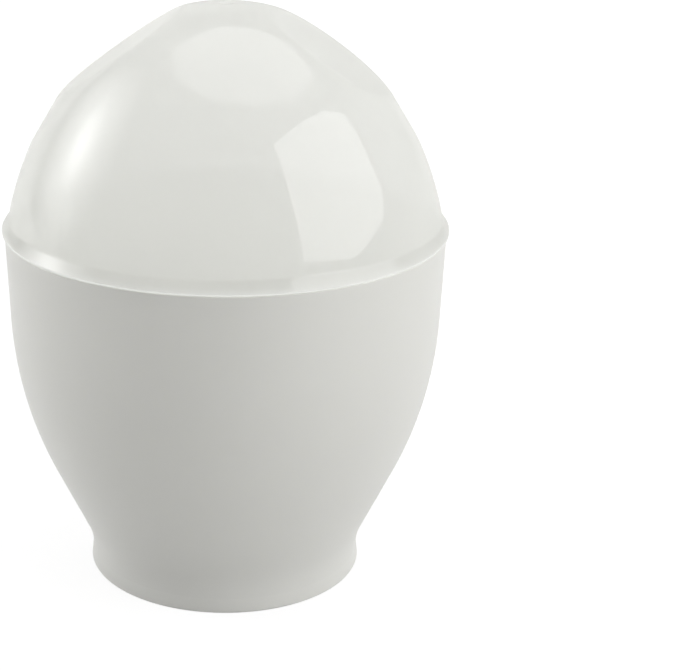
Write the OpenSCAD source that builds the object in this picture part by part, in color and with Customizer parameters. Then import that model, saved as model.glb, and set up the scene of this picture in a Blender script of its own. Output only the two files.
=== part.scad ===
// Microwave egg cooker: an egg-shaped cup on a low foot, and a dome lid with two finger flats.
// The origin is the centre of the foot's underside, +Z is up, and the finger flats face +X and -X.

/* [Whole cooker] */
// Height of the cup's rim, where the lid's lip rests
rim_z = 58.8; // [50:0.1:66]
// Height of the lid above the cup's rim
lid_h = 36.2; // [31:0.1:42]

/* [Foot] */
// Radius of the waist just above the foot
waist_r = 22.6; // [19:0.1:26]
// How far the foot stands out past the waist
foot_out = 0.3; // [0:0.1:2]
// Radius of the rounded edge under the foot
foot_edge_r = 0.4; // [0.2:0.1:0.7]
// Height of the waist
waist_z = 2.5; // [2:0.1:4]
// Height of the hollow under the foot
hollow_h = 5.2; // [3:0.1:7]
// Thickness of the foot's ring at the waist
foot_wall = 1.6; // [1.2:0.1:3]

/* [Cup] */
// Radius of the cup at its rim
cup_r = 35.8; // [31:0.1:41]
// Thickness of the cup's wall
cup_wall = 1.8; // [1.4:0.1:2.4]
// Thickness of the cup's floor
floor_wall = 2; // [1.4:0.1:3]
// Slope of the cup's lower wall, from upright
cone_deg = 25.5; // [23:0.5:28]
// Slope of the cup's upper wall, from upright
draft_deg = 2.2; // [0.6:0.2:4]
// Radius of the hollow curve where the wall leaves the waist
hip_r = 12.5; // [8:0.5:16]
// Radius of the full curve in the cup's wall
bulge_r = 65; // [50:1:75]
// Radius of the curve round the cup's floor inside
floor_r = 9; // [3:0.5:12]
// Radius of the rim's rounded edges
rim_edge_r = 0.4; // [0.2:0.1:0.6]

/* [Lid] */
// How far the lip stands out past the cup's rim
lip_out = 0.4; // [0:0.1:2]
// Height of the lip
lip_h = 2.4; // [1.6:0.1:4]
// How far the dome stands in from the cup's rim, just above the lip
neck_in = 0.8; // [0.2:0.1:2]
// Slope of the dome just above the lip, from upright
neck_deg = 12; // [6:0.5:14]
// Angle from the crown to the place where the round cap meets the dome's side
cap_deg = 51; // [44:0.5:56]
// Thickness of the lid's wall
lid_wall = 1.7; // [1.2:0.1:2.4]

/* [Locating ring] */
// Clearance between the lid's ring and the cup's mouth
ring_gap = 0.15; // [0.1:0.05:0.4]
// Thickness of the ring
ring_wall = 1.2; // [0.9:0.1:1.8]
// Length of the ring below the rim
ring_h = 3; // [2:0.1:5]

/* [Finger flats] */
// Angle from upright to a flat's normal
flat_tilt = 34.8; // [32:0.2:38]
// Depth that a flat cuts into the dome
flat_depth = 2.3; // [1.2:0.1:2.6]
// Radius that blends a flat's edge into the dome
flat_blend_r = 6; // [3:0.5:12]

/* [Crown] */
// Radius of the shallow dimple at the moulding gate
gate_r = 1.2; // [0.8:0.1:2]
// Depth of that dimple
gate_depth = 0.25; // [0.1:0.05:0.4]

/* [Hidden] */
$fn = 180;
// Largest turn between two points of a curve
arc_step = 4;
// Turn below which a corner counts as straight, and the share of a side that roundings may use
straight_deg = 0.02;
corner_share = 0.999;
// Radius of the lip's and the locating ring's edges
lip_edge_r = 0.2;
ring_edge_r = 0.35;
// Height at each end of the lip that its flare leaves free, and the radius that leads it into the dome
flare_end = 0.35;
flare_r = 1.7;
// Radius of the bends inside the lid where its wall runs down into the ring
ring_bend_r = 1;
// Radius of the hollow's corner under the foot
hollow_edge_r = 1.2;
// How far the blend of a flat stays inside the dome at its outer edge
blend_skin = 0.02;
// The side stops this angle short of the cap's end, and from there dips under the cap at the next angle
seam_deg = 2;
dip_deg = 5;
// How far the round cap's body runs down inside the dome's side, past the place where they meet
cap_skirt = 2.5;
// Room for a cutting body to run past its target
over = 1;

foot_r = waist_r + foot_out;
hollow_r = waist_r - foot_wall;
floor_z = hollow_h + floor_wall;
hip = [waist_r, waist_z + hip_r * tan(cone_deg / 2)];
rim = [cup_r, rim_z];
total_h = rim_z + lid_h;
lip_r = cup_r + lip_out;
neck = [cup_r - neck_in, rim_z + lip_h];
ring_r = cup_r - cup_wall - ring_gap;
// The dome is two arcs that meet without a bend: its side from the neck up, and its round cap.
// Their radii follow from how far out and down each would reach with a radius of 1.
cap_reach = [sin(cap_deg), 1 - cos(cap_deg)];
side_reach = [cos(neck_deg) - sin(cap_deg), cos(cap_deg) - sin(neck_deg)];
reach_area = cap_reach[0] * side_reach[1] - cap_reach[1] * side_reach[0];
cap_r = (neck[0] * side_reach[1] - (total_h - neck[1]) * side_reach[0]) / reach_area;
side_r = ((total_h - neck[1]) * cap_reach[0] - neck[0] * cap_reach[1]) / reach_area;
side_centre = neck - side_r * [cos(neck_deg), sin(neck_deg)];
cap_z = total_h - cap_r;
flat_arm = cap_r - flat_depth - flat_blend_r;
flat_face_r = sqrt(pow(cap_r - blend_skin - flat_blend_r, 2) - pow(flat_arm, 2));
flat_turn = atan2(flat_face_r, flat_arm);
cup_colour = [0.9, 0.9, 0.88];
lid_colour = [0.93, 0.93, 0.91, 0.75];

// Point a moved by w to the inner side of a line that leans outwards by p from upright
function moved_in(a, p, w) = a + w * [-cos(p), sin(p)];

// Radius, at height z, of the line through a that leans outwards by p from upright
function line_r(a, p, z) = a[0] + (z - a[1]) * tan(p);

// Meeting point of the line through a, leaning by p from upright, and the line through b, leaning by q
function crossing(a, p, b, q) =
    let (k = ((b[0] - a[0]) * cos(q) - (b[1] - a[1]) * sin(q)) / sin(p - q))
    a + k * [sin(p), cos(p)];

// Half of the turn that an outline makes at b on its way from a to c
function half_turn(a, b, c) =
    let (cosine = (b - a) * (c - b) / norm(b - a) / norm(c - b))
    acos(max(-1, min(1, cosine))) / 2;

// Length of a side that a leg may use when another leg shares that side
function leg_room(side, leg, other) = leg == 0 ? 0 : corner_share * side * leg / (leg + other);

// Arc that rounds corner b between points a and c, with the given length of leg on each side
function corner_arc(a, b, c, leg) =
    let (turn = half_turn(a, b, c))
    leg == 0 || turn < straight_deg / 2 ? [b] :
    let (
        u = (a - b) / norm(a - b),
        v = (c - b) / norm(c - b),
        radius = leg / tan(turn),
        centre = b + (u + v) / norm(u + v) * radius / cos(turn),
        start = b + u * leg - centre,
        end = b + v * leg - centre,
        start_deg = atan2(start[1], start[0]),
        swing = atan2(start[0] * end[1] - start[1] * end[0], start * end),
        steps = max(3, ceil(abs(swing) / arc_step))
    )
    [for (i = [0:steps]) let (t = start_deg + swing * i / steps) centre + radius * [cos(t), sin(t)]];

// Closed outline through corners, each given as [x, y, radius]; two arcs that want more than a side share it
function rounded(corners) =
    let (
        n = len(corners),
        xy = [for (p = corners) [p[0], p[1]]],
        before = [for (i = [0:n - 1]) (i + n - 1) % n],
        after = [for (i = [0:n - 1]) (i + 1) % n],
        side = [for (i = [0:n - 1]) norm(xy[after[i]] - xy[i])],
        leg = [for (i = [0:n - 1]) corners[i][2] * tan(half_turn(xy[before[i]], xy[i], xy[after[i]]))]
    )
    [
        for (i = [0:n - 1])
            let (
                room = leg_room(side[i], leg[i], leg[after[i]]),
                room_before = leg_room(side[before[i]], leg[i], leg[before[i]])
            )
            each corner_arc(xy[before[i]], xy[i], xy[after[i]], min(leg[i], room, room_before))
    ];

// Corner where the cup's lower and upper wall lines meet, moved in by inset
function bulge_corner(inset) =
    crossing(moved_in(hip, cone_deg, inset), cone_deg, moved_in(rim, draft_deg, inset), draft_deg);

// Half section of the cup: underside, foot, outer wall, rim, inner wall and floor
function cup_section() =
    let (
        bulge = bulge_corner(0),
        inner_bulge = bulge_corner(cup_wall),
        inner_rim_r = line_r(moved_in(rim, draft_deg, cup_wall), draft_deg, rim_z),
        inner_floor_r = line_r(moved_in(hip, cone_deg, cup_wall), cone_deg, floor_z)
    )
    rounded([
        [0, hollow_h, 0],
        [hollow_r, hollow_h, hollow_edge_r],
        [hollow_r, 0, foot_edge_r],
        [foot_r, 0, foot_edge_r],
        [waist_r, waist_z, 0],
        [hip[0], hip[1], hip_r],
        [bulge[0], bulge[1], bulge_r],
        [cup_r, rim_z, rim_edge_r],
        [inner_rim_r, rim_z, rim_edge_r],
        [inner_bulge[0], inner_bulge[1], bulge_r - cup_wall],
        [inner_floor_r, floor_z, floor_r],
        [0, floor_z, 0]
    ]);

// Corners of the dome's side, moved in by inset: its arc, and its upper end, which dips under the round cap
function side_corners(inset) =
    let (
        r = side_r - inset,
        last = 90 - cap_deg - seam_deg,
        steps = ceil((last - neck_deg) / arc_step),
        top = side_centre + r * [cos(last), sin(last)],
        dip = -last - dip_deg,
        end = top + (cap_r - inset) * sin(dip_deg) * [sin(dip), cos(dip)]
    )
    [
        for (i = [1:steps])
            let (t = neck_deg + (last - neck_deg) * i / steps)
            [side_centre[0] + r * cos(t), side_centre[1] + r * sin(t), 0],
        [end[0], end[1], 0],
        [0, end[1], 0]
    ];

// Half section of the lid's outer form below its cap, with the lip and the ring, filled to the axis
function lid_outer_section() =
    let (bend_z = rim_z + lip_h - flare_end)
    rounded([
        [0, rim_z - ring_h, 0],
        [ring_r, rim_z - ring_h, ring_edge_r],
        [ring_r, rim_z, 0],
        [lip_r, rim_z, lip_edge_r],
        [lip_r, rim_z + flare_end, lip_edge_r],
        [line_r(neck, -neck_deg, bend_z), bend_z, flare_r],
        [neck[0], neck[1], 0],
        each side_corners(0)
    ]);

// Half section of the space inside the lid below its cap, open downwards
function lid_inner_section() =
    let (base = moved_in(neck, -neck_deg, lid_wall))
    rounded([
        [0, rim_z - ring_h - over, 0],
        [ring_r - ring_wall, rim_z - ring_h - over, 0],
        [ring_r - ring_wall, rim_z + ring_bend_r, ring_bend_r],
        [base[0], base[1], ring_bend_r],
        each side_corners(lid_wall)
    ]);

// Half section of the body that cuts a flat and its blended edge, about the flat's own normal
function flat_cutter_section(inset) =
    let (
        blend = flat_blend_r - inset,
        top = cap_r - inset + over,
        steps = ceil(flat_turn / arc_step),
        edge = [flat_face_r + blend * sin(flat_turn), flat_arm + blend * cos(flat_turn)],
        reach = cap_r / 2 * [cos(flat_turn), -sin(flat_turn)]
    )
    [
        for (i = [0:steps]) let (t = flat_turn * i / steps) [flat_face_r + blend * sin(t), flat_arm + blend * cos(t)],
        edge + reach,
        [edge[0] + reach[0], top],
        [0, top],
        [0, flat_arm + blend]
    ];

// Both flats' cutting bodies, moved in by inset
module flat_cutters(inset) {
    for (side = [0, 180])
        rotate([0, 0, side])
            translate([0, 0, cap_z])
                rotate([0, flat_tilt, 0])
                    rotate_extrude()
                        polygon(flat_cutter_section(inset));
}

// Dome on a given section, with its round cap and its flats, moved in by inset
module dome(section, inset) {
    r = cap_r - inset;
    difference() {
        union() {
            rotate_extrude()
                polygon(section);
            intersection() {
                translate([0, 0, cap_z])
                    sphere(r = r);
                translate([0, 0, cap_z + r * cos(cap_deg) - cap_skirt])
                    cylinder(r = r + over, h = r);
            }
        }
        flat_cutters(inset);
    }
}

// Shallow round dimple in the crown
module gate_dimple() {
    ball_r = (pow(gate_r, 2) + pow(gate_depth, 2)) / (2 * gate_depth);
    translate([0, 0, total_h - gate_depth + ball_r])
        sphere(r = ball_r);
}

// Cup: one moulding with an even wall, a rounded floor and a hollow foot
module cup() {
    color(cup_colour)
        rotate_extrude()
            polygon(cup_section());
}

// Lid: one moulding, a dome with two finger flats, a flared lip and a ring that fits the cup's mouth
module lid() {
    color(lid_colour)
        difference() {
            dome(lid_outer_section(), 0);
            dome(lid_inner_section(), lid_wall);
            gate_dimple();
        }
}

cup();
lid();
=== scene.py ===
"""Looks of the microwave egg cooker: a white cup on a low foot, and a milky dome lid with finger flats."""

import math

import bmesh
import bpy
from bpy.props import FloatProperty, FloatVectorProperty, PointerProperty
from mathutils import Matrix, Vector


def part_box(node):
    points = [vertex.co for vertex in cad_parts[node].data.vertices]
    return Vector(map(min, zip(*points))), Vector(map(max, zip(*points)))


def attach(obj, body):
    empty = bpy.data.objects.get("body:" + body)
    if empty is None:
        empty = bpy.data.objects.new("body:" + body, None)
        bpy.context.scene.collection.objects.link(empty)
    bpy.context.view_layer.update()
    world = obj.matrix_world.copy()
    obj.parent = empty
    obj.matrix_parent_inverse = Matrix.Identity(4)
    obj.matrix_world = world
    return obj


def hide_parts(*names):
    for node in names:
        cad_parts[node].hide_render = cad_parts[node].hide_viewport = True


bl_info = {
    "name": "Microwave egg cooker",
    "version": (1, 0, 0),
    "blender": (4, 5, 0),
    "location": "3D View > Sidebar > Egg cooker",
    "description": "Makes the visible cup and lid of an egg cooker, and a studio round them",
    "category": "Object",
}

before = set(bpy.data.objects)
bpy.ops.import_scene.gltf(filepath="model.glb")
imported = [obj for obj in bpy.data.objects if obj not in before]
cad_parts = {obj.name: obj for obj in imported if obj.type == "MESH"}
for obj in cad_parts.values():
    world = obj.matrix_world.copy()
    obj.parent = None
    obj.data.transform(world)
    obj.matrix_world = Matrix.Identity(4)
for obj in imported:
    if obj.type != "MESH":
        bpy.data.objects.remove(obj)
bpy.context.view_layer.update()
CUP_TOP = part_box("cup")[1].z
LID_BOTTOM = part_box("lid")[0].z

MM = 0.001
SENSOR_WIDTH = 36.0
UP = Vector((0, 0, 1))
WHITE = (1.0, 1.0, 1.0, 1.0)

# Both plastics: refraction, and how far the clouds change the colour up and down
PLASTIC_IOR = 1.49
CLOUD_DARK, CLOUD_LIGHT = 0.985, 1.015
CLOUD_DETAIL, PATCH_DETAIL, GRAIN_DETAIL = 3.0, 2.0, 2.0
# The cup's surface: size of its duller patches as a share of a cloud, their roughness, and its grain
CUP_PATCH_SHARE = 0.25
CUP_ROUGHNESS_SPREAD = 0.06
GRAIN_STRENGTH = 0.35
GRAIN_HEIGHT = 0.02 * MM
# Light that spreads inside the cup's wall
CUP_SPREAD_WEIGHT = 0.15
CUP_SPREAD_COLOUR = (1.0, 1.0, 0.9)
CUP_SPREAD_DEPTH = 1.5 * MM
# The lid's surface: its duller patches, and a clear coat that mirrors the lamps
LID_PATCH_SHARE = 1 / 6
LID_ROUGHNESS_SPREAD = 0.02
LID_COAT_ROUGHNESS = 0.01
LID_COAT_IOR = 1.8

# The floor as the camera sees it: its own glow, and the share of light on it that it shows besides
FLOOR_GLOW = 0.85
FLOOR_SHADOW = 0.4
# Distances between which the floor turns from one that keeps a shadow to plain white
WHITE_FLOOR_START = 0.3
WHITE_FLOOR_END = 1.2
# Brightness of the surroundings behind the cooker in its polished faces
PALE_BACK = 0.8
# Where they begin and are full: towards the back, as a cosine, and down from overhead, as a sine
PALE_SIDE, PALE_MIDDLE = -0.3, 0.5
PALE_TOP, PALE_LOW = 0.65, 0.25

# Turned meshes: pieces round the axis, length of a step along a curve, and the least steps on a curve
TURN_STEPS = 288
CURVE_STEP = 0.6 * MM
LEAST_STEPS = 4
WELD_DISTANCE = 0.002 * MM
CREASE_ANGLE = math.radians(28)
# Share of a side that the roundings at its two ends may use together
SIDE_SHARE = 0.999
# Least cosine that a flat's tree divides by
LEAST_COSINE = 0.1


# Sizes and finishes that a user would change

class CookerCupSizes(bpy.types.PropertyGroup):
    """Sizes of the cup."""

    rim_height: FloatProperty(
        name="Rim height", description="Height of the cup's rim", default=CUP_TOP, unit="LENGTH"
    )
    rim_radius: FloatProperty(
        name="Rim radius", description="Radius of the cup at its rim", default=35.8 * MM, unit="LENGTH"
    )
    rim_edge: FloatProperty(
        name="Rim edge",
        description="Radius of the rim's rounded edges",
        default=0.4 * MM,
        unit="LENGTH",
    )
    wall: FloatProperty(
        name="Wall",
        description="Thickness of the cup's wall",
        default=1.8 * MM,
        unit="LENGTH",
    )
    floor_wall: FloatProperty(
        name="Floor", description="Thickness of the cup's floor", default=2.0 * MM, unit="LENGTH"
    )
    floor_curve: FloatProperty(
        name="Floor curve",
        description="Radius of the curve round the floor inside",
        default=9.0 * MM,
        unit="LENGTH",
    )
    lower_lean: FloatProperty(
        name="Lower lean",
        description="Lean of the lower wall, from upright",
        default=math.radians(25.5),
        unit="ROTATION",
    )
    upper_lean: FloatProperty(
        name="Upper lean",
        description="Lean of the upper wall, from upright",
        default=math.radians(2.2),
        unit="ROTATION",
    )
    bulge: FloatProperty(
        name="Bulge",
        description="Radius of the full curve in the wall",
        default=65.0 * MM,
        unit="LENGTH",
    )
    hip: FloatProperty(
        name="Hip",
        description="Radius of the hollow curve above the waist",
        default=12.5 * MM,
        unit="LENGTH",
    )
    waist_radius: FloatProperty(
        name="Waist radius",
        description="Radius of the waist above the foot",
        default=22.6 * MM,
        unit="LENGTH",
    )
    waist_height: FloatProperty(
        name="Waist height", description="Height of the waist", default=2.5 * MM, unit="LENGTH"
    )
    foot_out: FloatProperty(
        name="Foot flare",
        description="How far the foot stands out past the waist",
        default=0.3 * MM,
        unit="LENGTH",
    )
    foot_edge: FloatProperty(
        name="Foot edge",
        description="Radius of the edges under the foot",
        default=0.4 * MM,
        unit="LENGTH",
    )
    foot_wall: FloatProperty(
        name="Foot ring",
        description="Thickness of the foot's ring at the waist",
        default=1.6 * MM,
        unit="LENGTH",
    )
    hollow: FloatProperty(
        name="Hollow",
        description="Height of the hollow under the foot",
        default=5.2 * MM,
        unit="LENGTH",
    )
    hollow_edge: FloatProperty(
        name="Hollow edge", description="Radius of the hollow's corner", default=1.2 * MM, unit="LENGTH"
    )


class CookerLidSizes(bpy.types.PropertyGroup):
    """Sizes of the dome lid."""

    height: FloatProperty(
        name="Height",
        description="Height of the lid above the cup's rim",
        default=36.2 * MM,
        unit="LENGTH",
    )
    wall: FloatProperty(
        name="Wall",
        description="Thickness of the lid's wall",
        default=1.7 * MM,
        unit="LENGTH",
    )
    lip_out: FloatProperty(
        name="Lip",
        description="How far the lip stands out past the cup's rim",
        default=0.4 * MM,
        unit="LENGTH",
    )
    lip_height: FloatProperty(
        name="Lip height",
        description="Height of the lip",
        default=2.4 * MM,
        unit="LENGTH",
    )
    lip_edge: FloatProperty(
        name="Lip edge", description="Radius of the lip's edges", default=0.2 * MM, unit="LENGTH"
    )
    flare_end: FloatProperty(
        name="Flare end",
        description="Height at each end of the lip that its flare leaves free",
        default=0.35 * MM,
        unit="LENGTH",
    )
    flare_curve: FloatProperty(
        name="Flare curve",
        description="Radius that leads the flare into the dome",
        default=1.7 * MM,
        unit="LENGTH",
    )
    neck_in: FloatProperty(
        name="Neck",
        description="How far the dome stands in from the cup's rim above the lip",
        default=0.8 * MM,
        unit="LENGTH",
    )
    neck_lean: FloatProperty(
        name="Neck lean",
        description="Inward lean of the dome just above the lip",
        default=math.radians(12),
        unit="ROTATION",
    )
    cap_angle: FloatProperty(
        name="Cap angle",
        description="Angle from the crown to the place where the round cap meets the side",
        default=math.radians(51),
        unit="ROTATION",
    )
    ring_gap: FloatProperty(
        name="Ring gap",
        description="Clearance between the ring and the cup's mouth",
        default=0.15 * MM,
        unit="LENGTH",
    )
    ring_wall: FloatProperty(
        name="Ring wall", description="Thickness of the locating ring", default=1.2 * MM, unit="LENGTH"
    )
    ring_depth: FloatProperty(
        name="Ring depth",
        description="Length of the ring below the rim",
        default=CUP_TOP - LID_BOTTOM,
        unit="LENGTH",
    )
    ring_edge: FloatProperty(
        name="Ring edge",
        description="Radius of the ring's outer edge",
        default=0.35 * MM,
        unit="LENGTH",
    )
    ring_bend: FloatProperty(
        name="Ring bend",
        description="Radius of the bends above the ring inside",
        default=1.0 * MM,
        unit="LENGTH",
    )
    flat_tilt: FloatProperty(
        name="Flat tilt",
        description="Angle from upright to the normal of a finger flat",
        default=math.radians(34.8),
        unit="ROTATION",
    )
    flat_depth: FloatProperty(
        name="Flat depth",
        description="Depth that a flat cuts into the dome",
        default=2.3 * MM,
        unit="LENGTH",
    )
    flat_blend: FloatProperty(
        name="Flat blend", description="Radius of a flat's rolled edge", default=6.0 * MM, unit="LENGTH"
    )
    flat_skin: FloatProperty(
        name="Flat skin",
        description="How far a flat's rolled edge stays inside the dome",
        default=0.02 * MM,
        unit="LENGTH",
    )
    gate_radius: FloatProperty(
        name="Gate radius",
        description="Radius of the dimple in the crown",
        default=1.2 * MM,
        unit="LENGTH",
    )
    gate_depth: FloatProperty(
        name="Gate depth",
        description="Depth of the dimple in the crown",
        default=0.25 * MM,
        unit="LENGTH",
    )


class CookerFinish(bpy.types.PropertyGroup):
    """Colours and surfaces of the two plastics."""

    cup_colour: FloatVectorProperty(
        name="Cup colour",
        description="Colour of the cup's plastic",
        default=(0.845, 0.845, 0.805),
        subtype="COLOR",
    )
    cup_roughness: FloatProperty(
        name="Cup roughness",
        description="Roughness of the cup's satin face",
        default=0.42,
        subtype="FACTOR",
    )
    cup_grain: FloatProperty(
        name="Cup grain",
        description="Size of the fine grain on the cup",
        default=0.3 * MM,
        unit="LENGTH",
    )
    lid_colour: FloatVectorProperty(
        name="Lid colour",
        description="Colour of the lid's milky plastic",
        default=(0.97, 0.973, 0.957),
        subtype="COLOR",
    )
    lid_roughness: FloatProperty(
        name="Lid roughness",
        description="Roughness of the lid's polished face",
        default=0.01,
        subtype="FACTOR",
    )
    lid_body: FloatProperty(
        name="Lid body",
        description="How much the lid's outer face hides what is behind it",
        default=0.83,
        subtype="FACTOR",
    )
    lid_lining: FloatProperty(
        name="Lid lining",
        description="How much the lid's inner face hides what is behind it",
        default=0.12,
        subtype="FACTOR",
    )
    lid_milk: FloatProperty(
        name="Lid milk",
        description="Share of light that the lid's wall lets through as a soft glow",
        default=0.7,
        subtype="FACTOR",
    )
    cloud_size: FloatProperty(
        name="Cloud size",
        description="Size of the faint clouds in both plastics",
        default=18.0 * MM,
        unit="LENGTH",
    )


class CookerStudio(bpy.types.PropertyGroup):
    """Camera, lamps and surroundings."""

    camera_distance: FloatProperty(
        name="Distance",
        description="Distance from the camera to its target",
        default=304.4 * MM,
        unit="LENGTH",
    )
    camera_azimuth: FloatProperty(
        name="Azimuth",
        description="Direction of the camera round the cooker",
        default=math.radians(275.1),
        unit="ROTATION",
    )
    camera_elevation: FloatProperty(
        name="Elevation",
        description="Height angle of the camera",
        default=math.radians(19.4),
        unit="ROTATION",
    )
    camera_roll: FloatProperty(
        name="Roll",
        description="Turn of the camera about its own line of sight",
        default=math.radians(0.14),
        unit="ROTATION",
    )
    target_height: FloatProperty(
        name="Target height",
        description="Height that the camera looks at",
        default=44.55 * MM,
        unit="LENGTH",
    )
    lens: FloatProperty(
        name="Lens",
        description="Focal length of the camera, in millimetres",
        default=97.56,
    )
    shift_across: FloatProperty(
        name="Shift across",
        description="Sideways shift that puts the cooker left of the middle",
        default=0.1681,
    )
    shift_up: FloatProperty(
        name="Shift up",
        description="Upward shift that puts the cooker above the middle",
        default=-0.0412,
    )
    top_light: FloatProperty(
        name="Top light",
        description="Strength of the eight-sided softbox overhead",
        default=1.6,
    )
    right_light: FloatProperty(
        name="Right light",
        description="Strength of the softbox at the right",
        default=2.45,
    )
    left_light: FloatProperty(
        name="Left light",
        description="Strength of the lamp at the left",
        default=3.3,
    )
    left_glow: FloatProperty(
        name="Left glow",
        description="Strength of the wide glow round the left lamp",
        default=3.7,
    )
    room_light: FloatProperty(
        name="Room light",
        description="Strength of the light from all round",
        default=0.368,
    )
    dark_room: FloatProperty(
        name="Dark room",
        description="Brightness of the room before and above the cooker in polished faces",
        default=0.3,
    )
    floor_colour: FloatVectorProperty(
        name="Floor colour",
        description="Colour of the floor",
        default=(0.55, 0.55, 0.55),
        subtype="COLOR",
    )


# Outlines of the turned pieces: each point holds a radius and a height

def along(lean):
    """Step of length one along a line that leans outwards by lean from upright."""
    return Vector((math.sin(lean), math.cos(lean)))


def polar(centre, radius, angle):
    """Point at a distance from a centre, with the angle taken upwards from level."""
    return centre + radius * Vector((math.cos(angle), math.sin(angle)))


def moved_in(point, lean, inset):
    """Point moved to the inner side of the line through it that leans outwards by lean."""
    return point + inset * Vector((-math.cos(lean), math.sin(lean)))


def radius_on(point, lean, height):
    """Radius, at a height, of the line through a point that leans outwards by lean."""
    return point.x + (height - point.y) * math.tan(lean)


def crossing(first, first_lean, second, second_lean):
    """Meeting point of two leaning lines."""
    gap = second - first
    off_second = gap.x * math.cos(second_lean) - gap.y * math.sin(second_lean)
    return first + off_second / math.sin(first_lean - second_lean) * along(first_lean)


def curve_steps(length):
    """Number of steps that a curve of this length gets."""
    return max(LEAST_STEPS, math.ceil(length / CURVE_STEP))


def arc(centre, radius, start, end):
    """Points on an arc, with both ends."""
    steps = curve_steps(abs(end - start) * radius)
    return [polar(centre, radius, start + (end - start) * step / steps) for step in range(steps + 1)]


def half_turn(before, corner, after):
    """Half of the turn that an outline makes at a corner."""
    return (corner - before).angle(after - corner) / 2


def leg_room(side, leg, other):
    """Length of a side that one rounding may use when another shares it."""
    return SIDE_SHARE * side * leg / (leg + other)


def rounded(corners):
    """Open outline through (point, radius) corners; roundings that want more than a side share it."""
    points = [point for point, radius in corners]
    last = len(corners) - 1
    legs = [0.0] * len(corners)
    for index in range(1, last):
        turn = half_turn(points[index - 1], points[index], points[index + 1])
        legs[index] = corners[index][1] * math.tan(turn)
    outline = []
    for index, corner in enumerate(points):
        if legs[index] < WELD_DISTANCE:
            outline.append(corner)
            continue
        back = points[index - 1] - corner
        on = points[index + 1] - corner
        room_back = leg_room(back.length, legs[index], legs[index - 1])
        room_on = leg_room(on.length, legs[index], legs[index + 1])
        leg = min(legs[index], room_back, room_on)
        turn = half_turn(points[index - 1], corner, points[index + 1])
        radius = leg / math.tan(turn)
        centre = corner + (back.normalized() + on.normalized()).normalized() * radius / math.cos(turn)
        start = corner + back.normalized() * leg - centre
        end = corner + on.normalized() * leg - centre
        swing = math.atan2(start.x * end.y - start.y * end.x, start.dot(end))
        start_angle = math.atan2(start.y, start.x)
        outline += arc(centre, radius, start_angle, start_angle + swing)
    return outline


def cup_outline(cup):
    """Section of the cup from the middle of its underside, round foot and rim, to its floor inside."""
    hip = Vector((cup.waist_radius, cup.waist_height + cup.hip * math.tan(cup.lower_lean / 2)))
    rim = Vector((cup.rim_radius, cup.rim_height))
    hollow_radius = cup.waist_radius - cup.foot_wall
    foot_radius = cup.waist_radius + cup.foot_out
    floor_height = cup.hollow + cup.floor_wall
    inner_hip = moved_in(hip, cup.lower_lean, cup.wall)
    inner_rim = moved_in(rim, cup.upper_lean, cup.wall)
    return rounded([
        (Vector((0, cup.hollow)), 0),
        (Vector((hollow_radius, cup.hollow)), cup.hollow_edge),
        (Vector((hollow_radius, 0)), cup.foot_edge),
        (Vector((foot_radius, 0)), cup.foot_edge),
        (Vector((cup.waist_radius, cup.waist_height)), 0),
        (hip, cup.hip),
        (crossing(hip, cup.lower_lean, rim, cup.upper_lean), cup.bulge),
        (rim, cup.rim_edge),
        (Vector((radius_on(inner_rim, cup.upper_lean, rim.y), rim.y)), cup.rim_edge),
        (crossing(inner_hip, cup.lower_lean, inner_rim, cup.upper_lean), cup.bulge - cup.wall),
        (Vector((radius_on(inner_hip, cup.lower_lean, floor_height), floor_height)), cup.floor_curve),
        (Vector((0, floor_height)), 0),
    ])


class Dome:
    """The two arcs of the lid's dome, which meet without a bend, worked out from its height and neck."""

    def __init__(self, cup, lid):
        self.total_height = cup.rim_height + lid.height
        self.neck = Vector((cup.rim_radius - lid.neck_in, cup.rim_height + lid.lip_height))
        rise = self.total_height - self.neck.y
        cap_out, cap_down = math.sin(lid.cap_angle), 1 - math.cos(lid.cap_angle)
        side_out = math.cos(lid.neck_lean) - math.sin(lid.cap_angle)
        side_down = math.cos(lid.cap_angle) - math.sin(lid.neck_lean)
        area = cap_out * side_down - cap_down * side_out
        self.cap_radius = (self.neck.x * side_down - rise * side_out) / area
        self.side_radius = (rise * cap_out - self.neck.x * cap_down) / area
        self.cap_centre = Vector((0, self.total_height - self.cap_radius))
        self.side_centre = polar(self.neck, -self.side_radius, lid.neck_lean)
        self.neck_angle = lid.neck_lean
        self.seam_angle = math.pi / 2 - lid.cap_angle

    def side(self, inset):
        """Points of the side, from the neck up to the round cap."""
        return arc(self.side_centre, self.side_radius - inset, self.neck_angle, self.seam_angle)

    def cap(self, inset, end_angle):
        """Points of the round cap, from the side up to an angle from level."""
        return arc(self.cap_centre, self.cap_radius - inset, self.seam_angle, end_angle)


def crown_dimple(dome, lid):
    """Points of the dimple in the crown, from its edge to its middle, and the angle where the cap ends."""
    ball = (lid.gate_radius ** 2 + lid.gate_depth ** 2) / (2 * lid.gate_depth)
    ball_centre = Vector((0, dome.total_height - lid.gate_depth + ball))
    apart = ball_centre.y - dome.cap_centre.y
    edge_height = (apart ** 2 + dome.cap_radius ** 2 - ball ** 2) / (2 * apart)
    edge_radius = math.sqrt(dome.cap_radius ** 2 - edge_height ** 2)
    edge_angle = math.atan2(edge_height, edge_radius)
    ball_angle = -math.acos(edge_radius / ball)
    return arc(ball_centre, ball, ball_angle, -math.pi / 2), edge_angle


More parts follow.
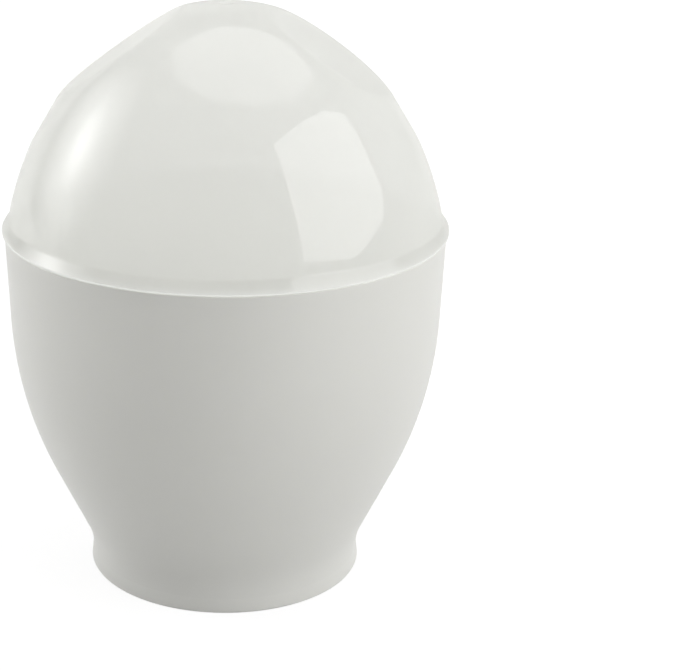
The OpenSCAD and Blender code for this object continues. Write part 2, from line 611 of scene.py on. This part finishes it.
def lid_outline(cup, lid):
    """Section of the lid from its crown, down outside, round the lip and the ring, and up inside."""
    dome = Dome(cup, lid)
    rim_height = cup.rim_height
    lip_radius = cup.rim_radius + lid.lip_out
    ring_radius = cup.rim_radius - cup.wall - lid.ring_gap
    ring_inside = ring_radius - lid.ring_wall
    ring_bottom = rim_height - lid.ring_depth
    bend_height = dome.neck.y - lid.flare_end
    dimple, edge_angle = crown_dimple(dome, lid)
    outer = dome.side(0) + dome.cap(0, edge_angle)[1:] + dimple[1:]
    inner = dome.side(lid.wall) + dome.cap(lid.wall, math.pi / 2)[1:]
    lower = rounded([
        (outer[1], 0),
        (Vector((radius_on(dome.neck, -lid.neck_lean, bend_height), bend_height)), lid.flare_curve),
        (Vector((lip_radius, rim_height + lid.flare_end)), lid.lip_edge),
        (Vector((lip_radius, rim_height)), lid.lip_edge),
        (Vector((ring_radius, rim_height)), 0),
        (Vector((ring_radius, ring_bottom)), lid.ring_edge),
        (Vector((ring_inside, ring_bottom)), 0),
        (Vector((ring_inside, rim_height + lid.ring_bend)), lid.ring_bend),
        (inner[0], lid.ring_bend),
        (inner[1], 0),
    ])
    outline = outer[:1:-1] + lower + inner[2:]
    lining_start = outline.index(Vector((ring_radius, rim_height)))
    return outline, lining_start


# Node trees, filled by arithmetic on their sockets

class Value:
    """Output of a node; arithmetic on it adds Math nodes to its sheet."""

    def __init__(self, sheet, socket):
        self.sheet = sheet
        self.socket = socket

    def __add__(self, other):
        return self.sheet.math("ADD", self, other)

    def __sub__(self, other):
        return self.sheet.math("SUBTRACT", self, other)

    def __rsub__(self, other):
        return self.sheet.math("SUBTRACT", other, self)

    def __mul__(self, other):
        return self.sheet.math("MULTIPLY", self, other)

    def __truediv__(self, other):
        return self.sheet.math("DIVIDE", self, other)

    def __rtruediv__(self, other):
        return self.sheet.math("DIVIDE", other, self)

    def __pow__(self, other):
        return self.sheet.math("POWER", self, other)

    __radd__ = __add__
    __rmul__ = __mul__


class Outputs:
    """Outputs of one node, picked by name or number."""

    def __init__(self, sheet, node):
        self.sheet = sheet
        self.node = node

    def __getitem__(self, key):
        return Value(self.sheet, self.node.outputs[key])


class NodeSheet:
    """A node tree that one method fills with nodes of any type."""

    # Numbers of the colour sockets of a Mix node, whose names repeat
    MIX_FACTOR, MIX_FIRST, MIX_SECOND, MIX_RESULT = 0, 6, 7, 2

    def __init__(self, tree):
        self.tree = tree

    def node(self, kind, settings=None, sockets=None):
        """Adds a node, makes its settings, then sets or links its sockets by name or number."""
        node = self.tree.nodes.new(kind)
        for name, setting in (settings or {}).items():
            setattr(node, name, setting)
        for key, value in (sockets or {}).items():
            if isinstance(value, Value):
                self.tree.links.new(value.socket, node.inputs[key])
            else:
                node.inputs[key].default_value = value
        return Outputs(self, node)

    def math(self, operation, *terms):
        """Adds a Math node on up to three values."""
        return self.node("ShaderNodeMath", {"operation": operation}, dict(enumerate(terms)))["Value"]

    def vector_math(self, operation, output, *terms):
        """Adds a Vector Math node and gives its vector or its value."""
        node = self.node("ShaderNodeVectorMath", {"operation": operation}, dict(enumerate(terms)))
        return node[output]

    def vector(self, x=0.0, y=0.0, z=0.0):
        """Adds a node that joins three values to a vector."""
        return self.node("ShaderNodeCombineXYZ", None, {"X": x, "Y": y, "Z": z})["Vector"]

    def mix_colour(self, factor, first, second):
        """Adds a Mix node on two colours."""
        sockets = {self.MIX_FACTOR: factor, self.MIX_FIRST: first, self.MIX_SECOND: second}
        return self.node("ShaderNodeMix", {"data_type": "RGBA"}, sockets)[self.MIX_RESULT]

    def mix_shader(self, factor, first, second):
        """Adds a Mix Shader node."""
        return self.node("ShaderNodeMixShader", None, {0: factor, 1: first, 2: second})["Shader"]

    def diffuse(self, colour):
        """Adds a plain matt surface."""
        return self.node("ShaderNodeBsdfDiffuse", None, {"Color": colour})["BSDF"]

    def glow(self, strength):
        """Adds a white emission."""
        return self.node("ShaderNodeEmission", None, {"Strength": strength})["Emission"]

    def background(self, strength):
        """Adds white surroundings."""
        return self.node("ShaderNodeBackground", None, {"Color": WHITE, "Strength": strength})["Background"]

    def chosen(self, test, if_false, if_true):
        """Adds a Switch node on two numbers."""
        sockets = {"Switch": test, "False": if_false, "True": if_true}
        return self.node("GeometryNodeSwitch", {"input_type": "FLOAT"}, sockets)["Output"]

    def sampled(self, kind, outline, value, index):
        """Adds a node that reads a value at one point of an outline."""
        settings = {"data_type": kind, "domain": "POINT"}
        sockets = {0: outline, "Value": value, "Index": index}
        return self.node("GeometryNodeSampleIndex", settings, sockets)["Value"]

    def lining(self):
        """Adds a node that gives the mark of the piece's inner points, in geometry."""
        settings, sockets = {"data_type": "FLOAT"}, {"Name": "lining"}
        return self.node("GeometryNodeInputNamedAttribute", settings, sockets)["Attribute"]

    def shade(self, domain, geometry, chosen, smooth):
        """Adds a node that shades the chosen faces or edges smooth or sharp."""
        sockets = {"Geometry": geometry, "Selection": chosen, "Shade Smooth": smooth}
        return self.node("GeometryNodeSetShadeSmooth", {"domain": domain}, sockets)["Geometry"]

    def smooth_step(self, value, start, end):
        """Adds a smooth rise from 0 at start to 1 at end."""
        low, high, first, last = (start, end, 0.0, 1.0) if start < end else (end, start, 1.0, 0.0)
        sockets = {"Value": value, "From Min": low, "From Max": high, "To Min": first, "To Max": last}
        return self.node("ShaderNodeMapRange", {"interpolation_type": "SMOOTHSTEP"}, sockets)["Result"]

    def noise(self, place, size, detail):
        """Adds noise of a real size, from 0 to 1."""
        sockets = {"Vector": place, "Scale": 1 / size, "Detail": detail}
        return self.node("ShaderNodeTexNoise", None, sockets)["Fac"]


def geometry_tree(name, inputs):
    """Makes a geometry node tree with named inputs, and gives its sheet and its input node's outputs."""
    tree = bpy.data.node_groups.new(name, "GeometryNodeTree")
    tree.interface.new_socket("Geometry", in_out="INPUT", socket_type="NodeSocketGeometry")
    for input_name, socket_type in inputs.items():
        tree.interface.new_socket(input_name, in_out="INPUT", socket_type=socket_type)
    tree.interface.new_socket("Geometry", in_out="OUTPUT", socket_type="NodeSocketGeometry")
    sheet = NodeSheet(tree)
    return sheet, sheet.node("NodeGroupInput")


def end_tree(sheet, given, geometry):
    """Ends a geometry node tree: real geometry with the wanted material."""
    real = sheet.node("GeometryNodeRealizeInstances", None, {"Geometry": geometry})["Geometry"]
    sockets = {"Geometry": real, "Material": given["Material"]}
    done = sheet.node("GeometryNodeSetMaterial", None, sockets)["Geometry"]
    sheet.node("NodeGroupOutput", None, {"Geometry": done})


def turned_wall_tree():
    """Tree that turns an outline, a row of points, about the upright axis into a closed wall."""
    sheet, given = geometry_tree("TurnedWall", {
        "Turn steps": "NodeSocketInt",
        "Weld distance": "NodeSocketFloat",
        "Crease angle": "NodeSocketFloat",
        "Material": "NodeSocketMaterial",
    })
    outline = given["Geometry"]
    counted = sheet.node("GeometryNodeAttributeDomainSize", {"component": "MESH"}, {"Geometry": outline})
    count = counted["Point Count"]
    sockets = {"Vertices X": given["Turn steps"] + 1, "Vertices Y": count}
    grid = sheet.node("GeometryNodeMeshGrid", None, sockets)["Mesh"]
    index = sheet.node("GeometryNodeInputIndex")["Index"]
    column = sheet.math("FLOOR", index / count)
    row = index - column * count
    position = sheet.node("GeometryNodeInputPosition")["Position"]
    point = sheet.sampled("FLOAT_VECTOR", outline, position, row)
    parts = sheet.node("ShaderNodeSeparateXYZ", None, {"Vector": point})
    radius, height = parts["X"], parts["Z"]
    turn = column / given["Turn steps"] * math.tau
    place = sheet.vector(radius * sheet.math("COSINE", turn), radius * sheet.math("SINE", turn), height)
    wall = sheet.node("GeometryNodeSetPosition", None, {"Geometry": grid, "Position": place})["Geometry"]
    inner = sheet.sampled("FLOAT", outline, sheet.lining(), row)
    marked = sheet.node(
        "GeometryNodeStoreNamedAttribute",
        {"data_type": "FLOAT", "domain": "POINT"},
        {"Geometry": wall, "Name": "lining", "Value": inner},
    )["Geometry"]
    welded = sheet.node(
        "GeometryNodeMergeByDistance", None, {"Geometry": marked, "Distance": given["Weld distance"]}
    )["Geometry"]
    bend = sheet.node("GeometryNodeInputMeshEdgeAngle")["Unsigned Angle"]
    sharp = sheet.math("GREATER_THAN", bend, given["Crease angle"])
    smooth = sheet.shade("FACE", welded, True, True)
    end_tree(sheet, given, sheet.shade("EDGE", smooth, sharp, False))
    return sheet.tree


def finger_flats_tree():
    """Tree that presses two flats with rolled edges into a dome, along rays from the cap's centre."""
    sheet, given = geometry_tree("FingerFlats", {
        "Centre height": "NodeSocketFloat",
        "Tilt": "NodeSocketFloat",
        "Arm": "NodeSocketFloat",
        "Blend radius": "NodeSocketFloat",
        "Face radius": "NodeSocketFloat",
        "Wall": "NodeSocketFloat",
        "Material": "NodeSocketMaterial",
    })
    arm, face = given["Arm"], given["Face radius"]
    blend = given["Blend radius"] - given["Wall"] * sheet.lining()
    out, upward = sheet.math("SINE", given["Tilt"]), sheet.math("COSINE", given["Tilt"])
    centre = sheet.vector(z=given["Centre height"])
    position = sheet.node("GeometryNodeInputPosition")["Position"]
    ray = sheet.vector_math("SUBTRACT", "Vector", position, centre)
    reach = sheet.vector_math("LENGTH", "Value", ray)
    pressed = reach
    for side in (1, -1):
        normal = sheet.vector(out * side, 0.0, upward)
        lean = sheet.vector_math("DOT_PRODUCT", "Value", ray, normal) / reach
        cosine = sheet.math("MINIMUM", lean, 1.0)
        angle = sheet.math("ARCCOSINE", cosine)
        sine = sheet.math("SINE", angle)
        flat = (arm + blend) / sheet.math("MAXIMUM", cosine, LEAST_COSINE)
        middle = face * sine + arm * cosine
        inside = sheet.math("MAXIMUM", middle ** 2 - face ** 2 - arm ** 2 + blend ** 2, 0.0)
        roll = middle + sheet.math("SQRT", inside)
        roll_start = sheet.math("ARCTAN2", face, arm + blend)
        roll_end = sheet.math("ARCTAN2", face, arm)
        beyond = sheet.math("MAXIMUM", sheet.math("COSINE", angle - roll_end), LEAST_COSINE)
        edge = sheet.math("SQRT", face ** 2 + arm ** 2) + blend
        on_roll = sheet.math("GREATER_THAN", angle, roll_start)
        past_roll = sheet.math("GREATER_THAN", angle, roll_end)
        limit = sheet.chosen(past_roll, sheet.chosen(on_roll, flat, roll), edge / beyond)
        pressed = sheet.math("MINIMUM", pressed, limit)
    ray_scaled = sheet.node(
        "ShaderNodeVectorMath", {"operation": "SCALE"}, {0: ray, "Scale": pressed / reach}
    )["Vector"]
    place = sheet.vector_math("ADD", "Vector", centre, ray_scaled)
    dome = sheet.node(
        "GeometryNodeSetPosition", None, {"Geometry": given["Geometry"], "Position": place}
    )["Geometry"]
    end_tree(sheet, given, dome)
    return sheet.tree


def add_tree(piece, tree, values):
    """Gives a piece a modifier with the tree, and sets the modifier's inputs by their identifiers."""
    modifier = piece.modifiers.new(tree.name, "NODES")
    modifier.node_group = tree
    for item in tree.interface.items_tree:
        if item.in_out == "INPUT" and item.name in values:
            modifier[item.identifier] = values[item.name]


def outline_object(name, outline, lining_start):
    """Object whose mesh is the outline's points in order, with its inner points marked."""
    mesh = bpy.data.meshes.new(name)
    mesh.from_pydata([(point.x, 0, point.y) for point in outline], [], [])
    lining = mesh.attributes.new("lining", "FLOAT", "POINT")
    for index in range(len(outline)):
        lining.data[index].value = float(index >= lining_start)
    piece = bpy.data.objects.new(name, mesh)
    bpy.context.scene.collection.objects.link(piece)
    return piece


def bake(piece):
    """Turns a piece's modifiers into a plain closed mesh whose faces point outwards."""
    bpy.context.view_layer.update()
    depsgraph = bpy.context.evaluated_depsgraph_get()
    evaluated = piece.evaluated_get(depsgraph)
    mesh = bpy.data.meshes.new_from_object(
        evaluated, preserve_all_data_layers=True, depsgraph=depsgraph
    )
    piece.modifiers.clear()
    piece.data = mesh
    work = bmesh.new()
    work.from_mesh(mesh)
    bmesh.ops.recalc_face_normals(work, faces=work.faces)
    is_closed = all(edge.is_manifold for edge in work.edges)
    work.to_mesh(mesh)
    work.free()
    if not is_closed:
        raise RuntimeError(f"the mesh of {piece.name} isn't closed")


# Materials

def new_material(name):
    """Makes an empty material and gives it with its sheet."""
    material = bpy.data.materials.new(name)
    material.use_nodes = True
    material.node_tree.nodes.clear()
    return material, NodeSheet(material.node_tree)


def object_place(sheet):
    """Place on the piece, in its own coordinates."""
    return sheet.node("ShaderNodeTexCoord")["Object"]


def shaded(colour, factor):
    """Colour with its brightness changed, as a colour socket takes it."""
    return tuple(channel * factor for channel in colour) + (1.0,)


def clouded(sheet, place, colour, size):
    """Colour that faint clouds make a little darker and lighter."""
    cloud = sheet.noise(place, size, CLOUD_DETAIL)
    return sheet.mix_colour(cloud, shaded(colour, CLOUD_DARK), shaded(colour, CLOUD_LIGHT))


def cup_plastic(finish):
    """Opaque white plastic with a satin moulded face: fine grain, and very faint clouds."""
    material, sheet = new_material("satin_white_plastic")
    place = object_place(sheet)
    grain = sheet.noise(place, finish.cup_grain, GRAIN_DETAIL)
    patch = sheet.noise(place, finish.cloud_size * CUP_PATCH_SHARE, PATCH_DETAIL)
    bump = sheet.node(
        "ShaderNodeBump", None, {"Strength": GRAIN_STRENGTH, "Distance": GRAIN_HEIGHT, "Height": grain}
    )["Normal"]
    surface = sheet.node("ShaderNodeBsdfPrincipled", None, {
        "Base Color": clouded(sheet, place, finish.cup_colour, finish.cloud_size),
        "Roughness": finish.cup_roughness + (patch - 0.5) * CUP_ROUGHNESS_SPREAD,
        "IOR": PLASTIC_IOR,
        "Subsurface Weight": CUP_SPREAD_WEIGHT,
        "Subsurface Radius": CUP_SPREAD_COLOUR,
        "Subsurface Scale": CUP_SPREAD_DEPTH,
        "Normal": bump,
    })["BSDF"]
    sheet.node("ShaderNodeOutputMaterial", None, {"Surface": surface})
    return material


def lid_plastic(finish):
    """Milky see-through plastic with a polished face: its wall spreads light, its inner face is clearer."""
    material, sheet = new_material("milky_clear_plastic")
    place = object_place(sheet)
    lining = sheet.node("ShaderNodeAttribute", {"attribute_name": "lining"})["Fac"]
    patch = sheet.noise(place, finish.cloud_size * LID_PATCH_SHARE, PATCH_DETAIL)
    skin = sheet.node("ShaderNodeBsdfPrincipled", None, {
        "Base Color": clouded(sheet, place, finish.lid_colour, finish.cloud_size),
        "Roughness": finish.lid_roughness + patch * LID_ROUGHNESS_SPREAD,
        "IOR": PLASTIC_IOR,
        "Specular IOR Level": 1.0,
        "Coat Weight": 1.0,
        "Coat Roughness": LID_COAT_ROUGHNESS,
        "Coat IOR": LID_COAT_IOR,
        "Alpha": finish.lid_body + lining * (finish.lid_lining - finish.lid_body),
    })["BSDF"]
    milk_colour = shaded(finish.lid_colour, 1.0)
    milk = sheet.node("ShaderNodeBsdfTranslucent", None, {"Color": milk_colour})["BSDF"]
    surface = sheet.mix_shader((1 - lining) * finish.lid_milk, skin, milk)
    sheet.node("ShaderNodeOutputMaterial", None, {"Surface": surface})
    return material


def white_rays(sheet):
    """1 for rays that show the surroundings, straight on or by gloss, and 0 for rays that light things."""
    path = sheet.node("ShaderNodeLightPath")
    shown = path["Is Camera Ray"] + path["Is Glossy Ray"] + path["Is Transmission Ray"]
    return sheet.math("MINIMUM", shown, 1.0)


def floor_material(studio):
    """Pale floor that shows white where it is open, and keeps a faint shadow under the cooker."""
    material, sheet = new_material("floor_paint")
    plain = sheet.diffuse(shaded(studio.floor_colour, 1.0))
    shadow = sheet.diffuse(shaded(studio.floor_colour, FLOOR_SHADOW))
    near = sheet.node("ShaderNodeAddShader", None, {0: shadow, 1: sheet.glow(FLOOR_GLOW)})["Shader"]
    distance = sheet.vector_math("LENGTH", "Value", object_place(sheet))
    farness = sheet.smooth_step(distance, WHITE_FLOOR_START, WHITE_FLOOR_END)
    shown = sheet.mix_shader(farness, near, sheet.glow(1.0))
    surface = sheet.mix_shader(white_rays(sheet), plain, shown)
    sheet.node("ShaderNodeOutputMaterial", None, {"Surface": surface})
    return material


def softbox_glow(name, strength):
    """Even glow of a softbox."""
    material, sheet = new_material(name)
    sheet.node("ShaderNodeOutputMaterial", None, {"Surface": sheet.glow(strength)})
    return material


def scrim_glow(name, strength, halo, core):
    """Glow of a scrim with a lamp close behind it: a bright core, and a halo that fades to the edge."""
    material, sheet = new_material(name)
    distance = sheet.vector_math("LENGTH", "Value", object_place(sheet))
    dark = sheet.glow(0.0)
    middle = sheet.mix_shader(sheet.smooth_step(distance, core, 0.0), dark, sheet.glow(strength))
    whole = sheet.mix_shader(sheet.smooth_step(distance, 1.0, 0.0), dark, sheet.glow(halo))
    surface = sheet.node("ShaderNodeAddShader", None, {0: middle, 1: whole})["Shader"]
    sheet.node("ShaderNodeOutputMaterial", None, {"Surface": surface})
    return material


# Pieces

def cooker_piece(name, node):
    """Ties a finished piece to the model: its node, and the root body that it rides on."""
    piece = bpy.data.objects[name]
    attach(piece, "root")
    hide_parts(node)


def turned_values(material):
    """Inputs of the turned wall's tree."""
    return {
        "Turn steps": TURN_STEPS,
        "Weld distance": WELD_DISTANCE,
        "Crease angle": CREASE_ANGLE,
        "Material": material,
    }


class MakeCookerCup(bpy.types.Operator):
    """Makes the cup: an even wall on a low hollow foot"""

    bl_idname = "egg_cooker.make_cup"
    bl_label = "Make cup"

    def execute(self, context):
        scene = context.scene
        outline = cup_outline(scene.cooker_cup)
        piece = outline_object("cup_shell", outline, len(outline))
        add_tree(piece, turned_wall_tree(), turned_values(cup_plastic(scene.cooker_finish)))
        bake(piece)
        cooker_piece("cup_shell", "cup")
        return {"FINISHED"}


class MakeCookerLid(bpy.types.Operator):
    """Makes the dome lid with its lip, its ring and its two finger flats"""

    bl_idname = "egg_cooker.make_lid"
    bl_label = "Make lid"

    def execute(self, context):
        scene = context.scene
        cup, lid = scene.cooker_cup, scene.cooker_lid
        outline, lining_start = lid_outline(cup, lid)
        dome = Dome(cup, lid)
        arm = dome.cap_radius - lid.flat_depth - lid.flat_blend
        roll_centre = dome.cap_radius - lid.flat_skin - lid.flat_blend
        material = lid_plastic(scene.cooker_finish)
        piece = outline_object("lid_shell", outline, lining_start)
        add_tree(piece, turned_wall_tree(), turned_values(material))
        add_tree(piece, finger_flats_tree(), {
            "Centre height": dome.cap_centre.y,
            "Tilt": lid.flat_tilt,
            "Arm": arm,
            "Blend radius": lid.flat_blend,
            "Face radius": math.sqrt(roll_centre ** 2 - arm ** 2),
            "Wall": lid.wall,
            "Material": material,
        })
        bake(piece)
        cooker_piece("lid_shell", "lid")
        return {"FINISHED"}


def facing_matrix(azimuth, elevation, distance, target):
    """Place on a sphere round a target, with its own Z pointing away from the target and X level."""
    away = Vector((
        math.cos(azimuth) * math.cos(elevation),
        math.sin(azimuth) * math.cos(elevation),
        math.sin(elevation),
    ))
    across = UP.cross(away).normalized()
    upward = away.cross(across)
    turn = Matrix((across, upward, away)).transposed().to_4x4()
    return Matrix.Translation(target + away * distance) @ turn


def softbox(name, matrix, corners, half_size, glow):
    """Flat glowing panel, scaled to its half size, that the camera doesn't see."""
    mesh = bpy.data.meshes.new(name)
    mesh.from_pydata([(*corner, 0) for corner in corners], [], [tuple(range(len(corners)))])
    mesh.materials.append(glow)
    panel = bpy.data.objects.new(name, mesh)
    bpy.context.scene.collection.objects.link(panel)
    panel.matrix_world = matrix @ Matrix.Diagonal((*half_size, 1.0, 1.0))
    panel.visible_camera = False


def regular_corners(count, start):
    """Corners of a regular panel with a radius of one."""
    angles = [start + math.tau * index / count for index in range(count)]
    return [(math.cos(angle), math.sin(angle)) for angle in angles]


class MakeCookerStage(bpy.types.Operator):
    """Makes the floor, the lamps, the pale surroundings and the camera"""

    bl_idname = "egg_cooker.make_stage"
    bl_label = "Make stage"

    FLOOR_HALF_SIZE = 8.0
    CLIP_START = 10 * MM
    LAMP_DISTANCE = 1.5
    # Directions of the lamps: degrees round from the picture's right, and up
    TOP_DIRECTION = (54, 78.3)
    RIGHT_DIRECTION = (-26.6, 27.1)
    LEFT_DIRECTION = (166, 24)
    # Half sizes of the lamps
    TOP_HALF_SIZE = (0.9, 0.9)
    RIGHT_HALF_SIZE = (0.72, 0.5)
    LEFT_HALF_SIZE = (0.9, 1.0)
    # Sides and turn of the overhead lamp, and sides and bright share of the round one at the left
    TOP_SIDES = 8
    TOP_TURN = math.radians(3)
    LEFT_SIDES = 48
    LEFT_CORE = 0.4
    RIGHT_CORNERS = (
        (-0.95, -0.95), (0.12, -1.25), (0.55, -1.15), (1.14, -0.95), (1.37, -0.59),
        (1.31, 0.05), (1.34, 0.81), (0.74, 1.1), (-0.68, 1.38),
    )

    def execute(self, context):
        studio = context.scene.cooker_studio
        self.make_floor(studio)
        self.make_lamps(studio)
        self.make_surroundings(context.scene, studio)
        self.make_camera(context.scene, studio)
        context.scene.view_settings.view_transform = "Standard"
        return {"FINISHED"}

    def make_floor(self, studio):
        """Large level floor under the foot."""
        size = self.FLOOR_HALF_SIZE
        mesh = bpy.data.meshes.new("floor")
        corners = [(-size, -size, 0), (size, -size, 0), (size, size, 0), (-size, size, 0)]
        mesh.from_pydata(corners, [], [(0, 1, 2, 3)])
        mesh.materials.append(floor_material(studio))
        floor = bpy.data.objects.new("floor", mesh)
        bpy.context.scene.collection.objects.link(floor)

    def make_lamps(self, studio):
        """An eight-sided softbox overhead, a wide one at the right and a soft lamp at the left."""
        target = Vector((0, 0, studio.target_height))
        picture_right = studio.camera_azimuth - math.radians(270)
        top_glow = softbox_glow("top_glow", studio.top_light)
        right_glow = softbox_glow("right_glow", studio.right_light)
        left_glow = scrim_glow("left_glow", studio.left_light, studio.left_glow, self.LEFT_CORE)
        top_corners = regular_corners(self.TOP_SIDES, self.TOP_TURN)
        left_corners = regular_corners(self.LEFT_SIDES, 0)
        for name, direction, corners, half_size, glow in (
            ("top_softbox", self.TOP_DIRECTION, top_corners, self.TOP_HALF_SIZE, top_glow),
            ("right_softbox", self.RIGHT_DIRECTION, self.RIGHT_CORNERS, self.RIGHT_HALF_SIZE, right_glow),
            ("left_softbox", self.LEFT_DIRECTION, left_corners, self.LEFT_HALF_SIZE, left_glow),
        ):
            azimuth, elevation = (math.radians(degrees) for degrees in direction)
            place = facing_matrix(picture_right + azimuth, elevation, self.LAMP_DISTANCE, target)
            softbox(name, place, corners, half_size, glow)

    def make_surroundings(self, scene, studio):
        """White surroundings with an even light; polished faces show them pale behind the cooker only."""
        world = bpy.data.worlds.new("surroundings")
        world.use_nodes = True
        world.node_tree.nodes.clear()
        sheet = NodeSheet(world.node_tree)
        direction = sheet.node("ShaderNodeTexCoord")["Generated"]
        away = (-math.cos(studio.camera_azimuth), -math.sin(studio.camera_azimuth), 0.0)
        depth = sheet.vector_math("DOT_PRODUCT", "Value", direction, away)
        height = sheet.node("ShaderNodeSeparateXYZ", None, {"Vector": direction})["Z"]
        behind = sheet.smooth_step(depth, PALE_SIDE, PALE_MIDDLE)
        paleness = behind * sheet.smooth_step(height, PALE_TOP, PALE_LOW)
        path = sheet.node("ShaderNodeLightPath")
        is_seen = sheet.math("MINIMUM", path["Is Camera Ray"] + path["Is Transmission Ray"], 1.0)
        dark, pale = sheet.background(studio.dark_room), sheet.background(PALE_BACK)
        mirrored = sheet.mix_shader(paleness, dark, pale)
        unseen = sheet.mix_shader(path["Is Glossy Ray"], sheet.background(studio.room_light), mirrored)
        surface = sheet.mix_shader(is_seen, unseen, sheet.background(1.0))
        sheet.node("ShaderNodeOutputWorld", None, {"Surface": surface})
        scene.world = world

    def make_camera(self, scene, studio):
        """Camera at the photographed angle, shifted as the photograph is framed."""
        camera = bpy.data.cameras.new("camera")
        camera.sensor_fit = "HORIZONTAL"
        camera.sensor_width = SENSOR_WIDTH
        camera.lens = studio.lens
        camera.shift_x = studio.shift_across
        camera.shift_y = studio.shift_up
        camera.clip_start = self.CLIP_START
        holder = bpy.data.objects.new("camera", camera)
        scene.collection.objects.link(holder)
        target = Vector((0, 0, studio.target_height))
        azimuth, elevation = studio.camera_azimuth, studio.camera_elevation
        place = facing_matrix(azimuth, elevation, studio.camera_distance, target)
        holder.matrix_world = place @ Matrix.Rotation(studio.camera_roll, 4, "Z")
        scene.camera = holder


class CookerPanel(bpy.types.Panel):
    """Sidebar panel with the cooker's sizes and the steps that make it"""

    bl_idname = "VIEW3D_PT_egg_cooker"
    bl_label = "Egg cooker"
    bl_space_type = "VIEW_3D"
    bl_region_type = "UI"
    bl_category = "Egg cooker"

    def draw(self, context):
        for name, group_class in GROUPS.items():
            box = self.layout.box()
            group = getattr(context.scene, name)
            for property_name in group_class.__annotations__:
                box.prop(group, property_name)
        for operator in OPERATORS:
            self.layout.operator(operator.bl_idname)


GROUPS = {
    "cooker_cup": CookerCupSizes,
    "cooker_lid": CookerLidSizes,
    "cooker_finish": CookerFinish,
    "cooker_studio": CookerStudio,
}
OPERATORS = (MakeCookerCup, MakeCookerLid, MakeCookerStage)
CLASSES = (*GROUPS.values(), *OPERATORS, CookerPanel)


def register():
    """Registers the classes and ties the groups of sizes to the scene."""
    for registered in CLASSES:
        bpy.utils.register_class(registered)
    for name, group_class in GROUPS.items():
        setattr(bpy.types.Scene, name, PointerProperty(type=group_class))


def unregister():
    """Takes back what register did."""
    for name in GROUPS:
        delattr(bpy.types.Scene, name)
    for registered in reversed(CLASSES):
        bpy.utils.unregister_class(registered)


def main():
    """Makes the cooker and its stage in order."""
    register()
    for operator in OPERATORS:
        group, action = operator.bl_idname.split(".")
        getattr(getattr(bpy.ops, group), action)()


if __name__ == "__main__":
    main()
